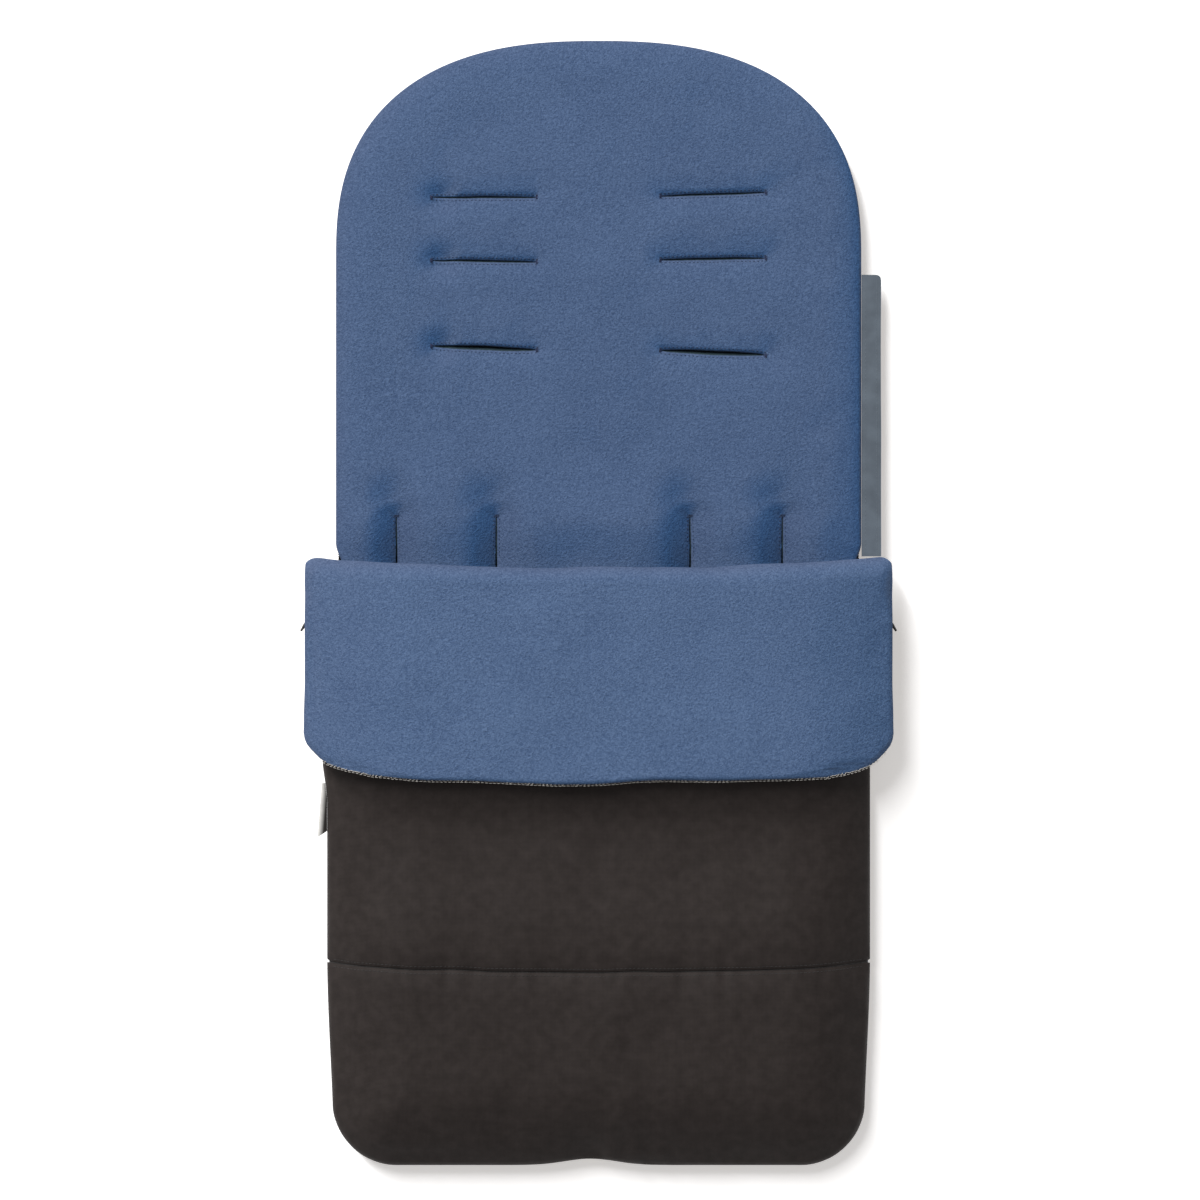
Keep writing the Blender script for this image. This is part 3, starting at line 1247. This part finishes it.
def cuffSurfaces():
    # the face and back of the cuff lie along its middle surface's normals, thinning towards its edges
    middle, thick = cuffMiddle()
    along = np.gradient(middle, axis=0)
    along[..., 0] = 0
    along /= np.maximum(np.linalg.norm(along, axis=2), 1e-9)[..., None]
    normal = np.stack([np.zeros_like(thick), along[..., 2], -along[..., 1]], axis=2)
    start = cuff["rollRows"]
    outline = np.vstack([middle[start:, 0, :2], middle[-1, 1:-1, :2], middle[start:, -1, :2][::-1]])
    depth = np.empty(thick.shape)
    side = np.minimum(middle[..., 0] - middle[:, :1, 0], middle[:, -1:, 0] - middle[..., 0])
    depth[:start] = side[:start]
    flat = depthIn(middle[start:, :, :2].reshape(-1, 2), outline, closed=False).reshape(-1, cuff["columns"])
    depth[start:] = np.minimum(flat, side[start:])
    x, y, z = middle[..., 0], middle[..., 1], middle[..., 2]
    free = smoothStep((hinge["y"] - 0.004 - y) / 0.03)
    free[:start] = 0
    edges = (cuff["faceRound"], cuff["underRound"])
    rounds = [np.clip(depth / mix(cuff["round"], edge, free), 0, 1) for edge in edges]
    fullness, under = [np.clip(1 - (1 - share) ** 2.3, 0, 1) ** 0.55 for share in rounds]
    lift = cuff["edgeLift"] * free
    half = thick * (0.07 + 0.93 * under)
    top = mix(lift + 0.07 * thick, thick, fullness) - lift * (1 - under)
    z += lift * (1 - under)
    soft = uneven(x, y + z, cuff["soft"])
    gather = uneven(x * 0.4, y, cuff["gather"]) * gauss(side - 0.010, 0.010)
    hem = uneven(x, y * 0.3, cuff["hem"]) * gauss(depth - 0.008, 0.008)
    puffed = top + (soft + gather + hem) * fullness
    return middle, normal, puffed[..., None], half[..., None]


def makeCuffPiece(name, face, back, material):
    piece = gridLayer(name, face, back, material, sharp=60)
    return piece


def makeCuff():
    # the flat of the cuff turns as a whole, while the roll bends between it and the cover
    middle, normal, puffed, half = cuffSurfaces()
    fold = cuff["rollRows"]
    fleeceIn, shellIn = puffed - cuff["fleeceThick"], half - cuff["shellThick"]
    faces = {
        "fleece": (middle + normal * puffed, middle + normal * np.maximum(fleeceIn, half * -0.02)),
        "shell": (middle - normal * half, middle - normal * np.maximum(shellIn, half * 0.02)),
    }
    columns = np.abs(middle[fold, :, 0])
    first = int(np.argmax(columns < cuff["drapeX"])) - 1
    last = len(columns) - 1 - first
    thirds = (0, first // 3, first * 2 // 3)
    cuts = {
        "fleece": [*thirds, first, *(last + third for third in thirds), len(columns) - 1],
        "shell": [0, first, last, len(columns) - 1],
    }
    stoodFor = {"fleece": ("cuff_fleece", "cuff_wadding"), "shell": ("cuff_shell",)}
    for kind, material, slot in (("fleece", liningCloth, "fleece"), ("shell", blackCloth, "shell_cloth")):
        face, back = faces[kind]
        flat = makeCuffPiece(f"cuff_{kind}_face", face[fold:], back[fold:], material)
        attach(flat, "cuff")
        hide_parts(*stoodFor[kind])
        for number, (start, end) in enumerate(zip(cuts[kind], cuts[kind][1:])):
            part = (slice(0, fold + 1), slice(start, end + 1))
            roll = makeCuffPiece(f"cuff_roll_{kind}_{number + 1}", face[part], back[part], material)
            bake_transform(roll)
            if kind == "fleece" and start < len(columns) // 2 < end:
                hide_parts("cover_fold_roll")
    return middle


overlock = {
    "step": 0.0005,
    "pitch": 0.0031,
    "endRow": 24,  # it starts this many rows past the fold or lower, where the corners begin
    "cornerHigh": 0.030,
    "wander": (0.004, 61),
    "radius": 0.00038,  # of the loops, which are drawn more and less tight
    "loose": 0.00085,
    "looser": 0.00030,
    "tightest": 0.00014,
    "loosest": 0.0012,
    "thread": 0.00024,
    "needleAway": 0.0013,
    "needleThread": 0.0002,
}


def makeOverlock(middle):
    # the raw edge of fleece and cloth, whipped together by a three-thread overlock
    start, step = cuff["rollRows"] + overlock["endRow"], overlock["step"]
    high = hinge["y"] - cuff["length"] + overlock["cornerHigh"]
    left, right = [middle[start:-1, column][middle[start:-1, column, 1] < high] for column in (0, -1)]
    edge = resampled(np.vstack([left, middle[-1], right[::-1]]), step)
    run = np.arange(len(edge)) * step
    wander = softNoise(run, run * 0, *overlock["wander"])
    path, _, side, up = frames(edge)
    turn = run / overlock["pitch"] * 2 * math.pi + wander * 2.4
    drift = softNoise(run, run * 0, 0.013, 62)
    radius = overlock["radius"] + overlock["loose"] * wander + overlock["looser"] * drift
    radius = np.clip(radius, overlock["tightest"], overlock["loosest"])
    across, above = -0.0001 + radius * np.cos(turn), 0.0003 + radius * np.sin(turn)
    loops = path + side * across[:, None] + up * above[:, None]
    whip = sweptTube("cuff_overlock_loops", loops, roundProfile(overlock["thread"], 5), paleThread)
    chain = path + side * (overlock["needleAway"] + 0.0002 * wander)[:, None] + up * 0.0004
    chain = resampled(chain, 0.001)
    thread = overlock["needleThread"]
    needle = stitches("cuff_overlock_needle_thread", [chain], 0.0026, 0.0008, thread, paleThread)
    settle(whip, "cuff", "overlock_thread", "cuff_edge_overlock")
    settle(needle, "cuff", "overlock_thread")


makeCoverPanel("cover_panel_upper", "cover_shell_upper", True)
makeCoverPanel("cover_panel_lower", "cover_shell_lower", False)
makeCoverLining()
makeCoverSeam()
print("cover made")
makeOverlock(makeCuff())
print("cuff made")


# Zip: black tapes and coils, an enamelled slider on each side, box and stops

zipLine = {
    "inset": 0.002,
    "z": 0.012,
    "spacing": 0.0036,  # between the pad's coil and the cover's
    "topY": 0.2743,
    "pitchMm": 1.9,
    "turnSteps": 6,
    "coil": 0.0012,
    "wire": 0.00033,
    "tape": 0.0008,
    "turnedIn": 0.0037,
    "padSeam": (0.0037, 0.0045),  # the pad's tape is caught between these heights
    "boxHalf": 0.0053,
    "onCuffIn": 0.006,  # the half on the cuff lies this far in from its side and stops short of its edge
    "onCuffShort": 0.084,
    "onCuffHang": 0.0042,
}


def zipPath(way, topY, z):
    start = cover["boxX"] * way + zipLine["boxHalf"]
    line = movedOut(rightEdge(), -zipLine["inset"])
    kept = line[(line[:, 0] > start) & (line[:, 1] < topY - 0.001)]
    line = np.vstack([[(start, line[0, 1])], kept, [(pad["width"] / 2 - zipLine["inset"], topY)]])
    line = resampled(line, 0.004) * (way, 1)
    return np.column_stack([line, np.full(len(line), z)])


def makeZipHalf(name, node, body, path, tapeProfile):
    steps, wire = zipLine["turnSteps"], zipLine["wire"]
    spine, _, side, upward = frames(resampled(path, zipLine["pitchMm"] * mm / steps))
    turn = np.arange(len(spine)) / steps * 2 * math.pi
    radius = zipLine["coil"] - wire
    coil = spine + side * (radius * np.cos(turn))[:, None] + upward * (radius * np.sin(turn))[:, None]
    wound = sweptTube(name + "_coil", coil, roundProfile(wire, 4), nylonCoil)
    settle(wound, body, "zip_tape")
    tape = sweptTube(name + "_tape", path, tapeProfile, zipTape, sharp=50)
    settle(tape, body, "zip_tape", node)


def makeZips():
    low, high = zipLine["z"] - zipLine["spacing"] / 2, zipLine["z"] + zipLine["spacing"] / 2
    t = zipLine["tape"] / 2
    # the pad's tape goes down to the pad's edge and turns in under it, the cover's goes straight up
    lipUp, seamUp = [height - low for height in zipLine["padSeam"]]
    coverUp, turned = pad["sideHigh"] + 0.0006 - high, zipLine["turnedIn"]
    padTape = [(t, 0.0002), (-t, 0.0002), (-t, seamUp), (-turned, seamUp), (-turned, lipUp), (t, lipUp)]
    coverTape = [(t, -0.0002), (t, coverUp), (-t, coverUp), (-t, -0.0002)]
    for way, side in ((-1, "left"), (1, "right")):
        # a profile's first axis points outwards on +X and inwards on -X
        path = zipPath(way, zipLine["topY"], low)
        profile = [(way * out, up) for out, up in padTape]
        makeZipHalf(f"pad_zip_{side}", f"pad_zip_half_{side}", "pad_and_cover", path, profile)
        path = zipPath(way, hinge["y"], high)
        profile = [(way * out, up) for out, up in coverTape]
        makeZipHalf(f"cover_zip_{side}", f"cover_zip_half_{side}", "pad_and_cover", path, profile)
        # the cover's half goes on up the side of the cuff, and lies under it while it is folded
        x = cuff["half"] - zipLine["onCuffIn"]
        under = cuff["middleZ"] - cuffDrape(x) - cuff["halfThick"] * 0.9
        ys = np.linspace(hinge["y"] - cuff["length"] + zipLine["onCuffShort"], hinge["y"] - 0.0036, 24)
        hang = np.full(len(ys), under - zipLine["onCuffHang"])
        path = np.column_stack([np.full(len(ys), way * x), ys, hang])
        profile = ribbonLoop([(0, 0.0002), (0, 0.0024), (0, 0.0048)], 2 * t)
        makeZipHalf(f"cuff_zip_{side}", f"cuff_zip_half_{side}", "cuff", path, profile)


makeZips()
print("zips made")


# Draught flap behind the zip: laid out flat beside the back on +X, tucked down on -X

flap = {
    "width": 0.0165,
    "lowY": 0.0358,
    "topY": 0.2743,
    "z": 0.0191,
    "thick": 0.0008,
    "corner": 0.0042,
    "sag": 0.0016,
    "hem": 0.0040,
    "hemThick": 0.0004,
    "wave": 0.0004,
    "stitching": (0.0026, 0.0010, 0.00018),  # stitch, gap and thread
    "tuckedX": -0.2169,
    "tuckedZ": 0.0119,
    "tuckedLowY": 0.0462,
    "tuckedWide": 0.0112,
}


def makeFlapOut():
    across = np.concatenate([np.linspace(0, 0.70, 8), [0.745, 0.755, 0.82, 0.90, 0.96, 1.0]])
    along = np.linspace(0, 1, 150)
    inner = pad["width"] / 2 + 0.0003
    top, low = [], []
    for v in along:
        out = across * flap["width"]
        cut = np.maximum(out - (flap["width"] - flap["corner"]), 0)
        end = flap["topY"] - flap["corner"] + np.sqrt(np.maximum(flap["corner"] ** 2 - cut**2, 0))
        y = mix(flap["lowY"], end, v)
        wave = softNoise(across * 0 + 0.5, y, 0.030, 71) * flap["wave"] * across
        z = flap["z"] - flap["sag"] * across**1.4 + wave
        turned = np.where(across > 0.75, flap["hemThick"], 0)  # the hem is folded double
        x = inner + out + softNoise(y, y * 0, 0.045, 72) * 0.0002 * across
        top.append(np.column_stack([x, y, z + flap["thick"] / 2 + turned]))
        low.append(np.column_stack([x, y, z - flap["thick"] / 2]))
    top = np.array(top)
    piece = gridLayer("zip_flap_right_cloth", top, np.array(low), greyCloth, sharp=50)
    settle(piece, "pad_and_cover", "draught_flap", "zip_flap_right")
    # one row of stitches holds the hem and one the seam to the tape
    rows = [top[3:-6, 9] + (0.0004, 0, 0), top[3:-6, 2]]
    seam = stitches("zip_flap_stitches", rows, *flap["stitching"], greyThread)
    settle(seam, "pad_and_cover", "draught_flap")


def makeFlapIn():
    ys = np.linspace(flap["tuckedLowY"], flap["topY"] - 0.0004, 90)
    x = np.full(len(ys), flap["tuckedX"]) + softNoise(ys, ys * 0, 0.02, 73) * 0.00005
    path = np.column_stack([x, ys, np.full(len(ys), flap["tuckedZ"])])
    inner = [(-0.0002, 0.0053), (-0.0002, 0.0028), (-0.0002, 0.0006), (-0.0001, 0.0002)]
    outer = [(0.0001, 0.0002), (0.0002, 0.0006), (0.0002, 0.0026), (0.0002, 0.0051)]
    profile = ribbonLoop(inner + outer, 0.0003)
    piece = sweptTube("zip_flap_left_cloth", path, profile, greyCloth, sharp=50)
    settle(piece, "pad_and_cover", "draught_flap", "zip_flap_left")


makeFlapOut()
makeFlapIn()


# Side tab: a satin ribbon folded double and caught in the cover's seam, left blank

tab = {
    "topY": -0.1562,
    "z": 0.0202,
    "length": 0.0457,
    "flatWide": 0.0165,
    "wide": 0.0076,
    "slant": 0.0050,
    "thick": 0.0004,
    "reach": (0.0040, 0.0036),  # how far it stands out at its top, and how much further at its foot
    "high": (0.0012, 0.0006),
}


def makeSideTab():
    rings = []
    edge = -(pad["width"] / 2 + cover["overhang"]) - 0.0003
    turns = np.linspace(0.5 * math.pi, 1.5 * math.pi, 9)
    for share in np.linspace(0, 1, 26):
        reach, high = [least + more * share for least, more in (tab["reach"], tab["high"])]
        bend = [(-reach + high * (1 + math.cos(turn)), high * math.sin(turn)) for turn in turns]
        fold = [(0, 0.0005), (-0.0012, high * 0.75), *bend, (-0.0012, -high * 0.8), (0, -0.0005)]
        outline = ribbonLoop(fold, tab["thick"])
        y = tab["topY"] - share * (tab["length"] - tab["slant"] * (1 + outline[:, 0] / tab["wide"]))
        x = edge + outline[:, 0] + 0.0002 - coverFlare(y) * (1 + outline[:, 0] / reach)
        rings.append(np.column_stack([x, y, tab["z"] + outline[:, 1]]))
    rings = np.array(rings)
    rows, columns = rings.shape[:2]
    faces = gridFaces(rows, columns, wrap=True)
    for base in (0, (rows - 1) * columns):
        for j in range(columns // 2 - 1):
            near, far = base + j, base + columns - 2 - j
            faces.append((near, near + 1, far, far + 1))
    piece = meshFrom("side_tab_ribbon", rings.reshape(-1, 3), faces, satin, sharp=60)
    settle(piece, "pad_and_cover", "satin_tape", "side_tab")


makeSideTab()
print("flaps and tab made")


def dressRigid():
    enamel, nickel, rubber = enamelledZinc(), nickelPlate(), mouldedRubber()
    finishes = {}
    for side in ("left", "right"):
        finishes[f"slider_{side}"] = enamel
        finishes[f"pull_tab_{side}"] = enamel
        finishes[f"pull_grip_{side}"] = rubber
        finishes[f"zip_top_stop_{side}"] = nickel
    finishes["zip_bottom_box"] = nickel
    for name, material in finishes.items():
        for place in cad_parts[name].material_slots:
            place.material = material


dressRigid()
print("rigid pieces finished")


# Floor, light and camera

stage = {
    "floorSize": 8.0,
    "floorZ": -0.0004,
    "white": "#fbfbfb",
    "paper": "#e6e6e6",  # what the floor throws back on the object
    "lift": 0.44,
    "liftTint": (1, 0.94, 0.88, 1),
    "fill": 0.25,
    "fillTint": (0.92, 0.97, 1.04, 1),
    "keyPower": 1060,
    "keyWide": 1.8,
    "keyTall": 7.5,
    "keyAt": (-3.52, 5.25, 5.25),
}
overhead = {"lens": 85, "sensor": 36, "pixel": 0.0008475, "aside": 1.4, "plane": 0.018}


def seenDirectly(tree):
    # 1 for what the camera sees, also in a shiny surface or through a clear one
    rays = addNode(tree, "LightPath").outputs
    seen = addNode(tree, "Math", {0: rays["Is Camera Ray"], 1: rays["Is Glossy Ray"]}, operation="MAXIMUM")
    clear = {0: seen.outputs[0], 1: rays["Is Transmission Ray"]}
    return addNode(tree, "Math", clear, operation="MAXIMUM").outputs[0]


def makeFloor():
    floor = bpy.data.meshes.new("floor")
    half = stage["floorSize"] / 2
    corners = [(x * half, y * half, stage["floorZ"]) for x, y in ((-1, -1), (1, -1), (1, 1), (-1, 1))]
    floor.from_pydata(corners, [], [(0, 1, 2, 3)])
    # white paper, lifted to white where it is seen and duller where it only throws light back
    material = bpy.data.materials.new("white paper floor")
    material.use_nodes = True
    tree = material.node_tree
    tree.nodes.clear()
    direct = seenDirectly(tree)
    paper = addNode(tree, "BsdfDiffuse", {"Color": hexColour(stage["paper"])})
    bright = addNode(tree, "BsdfDiffuse", {"Color": hexColour(stage["white"])})
    glow = addNode(tree, "Emission", {"Color": stage["liftTint"], "Strength": stage["lift"]})
    lifted = addNode(tree, "AddShader", {0: bright.outputs[0], 1: glow.outputs[0]})
    either = addNode(tree, "MixShader", {0: direct, 1: paper.outputs[0], 2: lifted.outputs[0]})
    addNode(tree, "OutputMaterial", {"Surface": either.outputs[0]})
    linkMesh("floor", floor, material)


def makeWorld():
    world = bpy.data.worlds.new("soft white studio")
    bpy.context.scene.world = world
    world.use_nodes = True
    tree = world.node_tree
    back = tree.nodes["Background"]
    direct = seenDirectly(tree)
    level = addNode(tree, "MapRange", {"Value": direct, "To Min": stage["fill"], "To Max": 1.0})
    tint = addNode(tree, "Mix", {0: direct, 6: stage["fillTint"], 7: (1, 1, 1, 1)}, data_type="RGBA")
    tree.links.new(tint.outputs[2], back.inputs["Color"])
    tree.links.new(level.outputs[0], back.inputs["Strength"])


def makeSoftbox():
    key = bpy.data.lights.new("softbox", "AREA")
    key.shape = "RECTANGLE"
    key.size, key.size_y = stage["keyWide"], stage["keyTall"]
    key.energy = stage["keyPower"]
    lamp = bpy.data.objects.new("softbox", key)
    bpy.context.scene.collection.objects.link(lamp)
    lamp.location = stage["keyAt"]
    lamp.rotation_euler = (Vector((0, 0, 0)) - lamp.location).to_track_quat("-Z", "Y").to_euler()


def makeCamera():
    camera = bpy.data.cameras.new("overhead")
    camera.lens, camera.sensor_width = overhead["lens"], overhead["sensor"]
    view = bpy.data.objects.new("overhead", camera)
    bpy.context.scene.collection.objects.link(view)
    wide, aside = 1200 * overhead["pixel"], overhead["aside"] * overhead["pixel"]
    high = wide * camera.lens / camera.sensor_width + overhead["plane"]
    view.location = (aside, -aside, high)
    bpy.context.scene.camera = view


makeFloor()
makeWorld()
makeSoftbox()
makeCamera()
bpy.context.scene.view_settings.view_transform = "Standard"
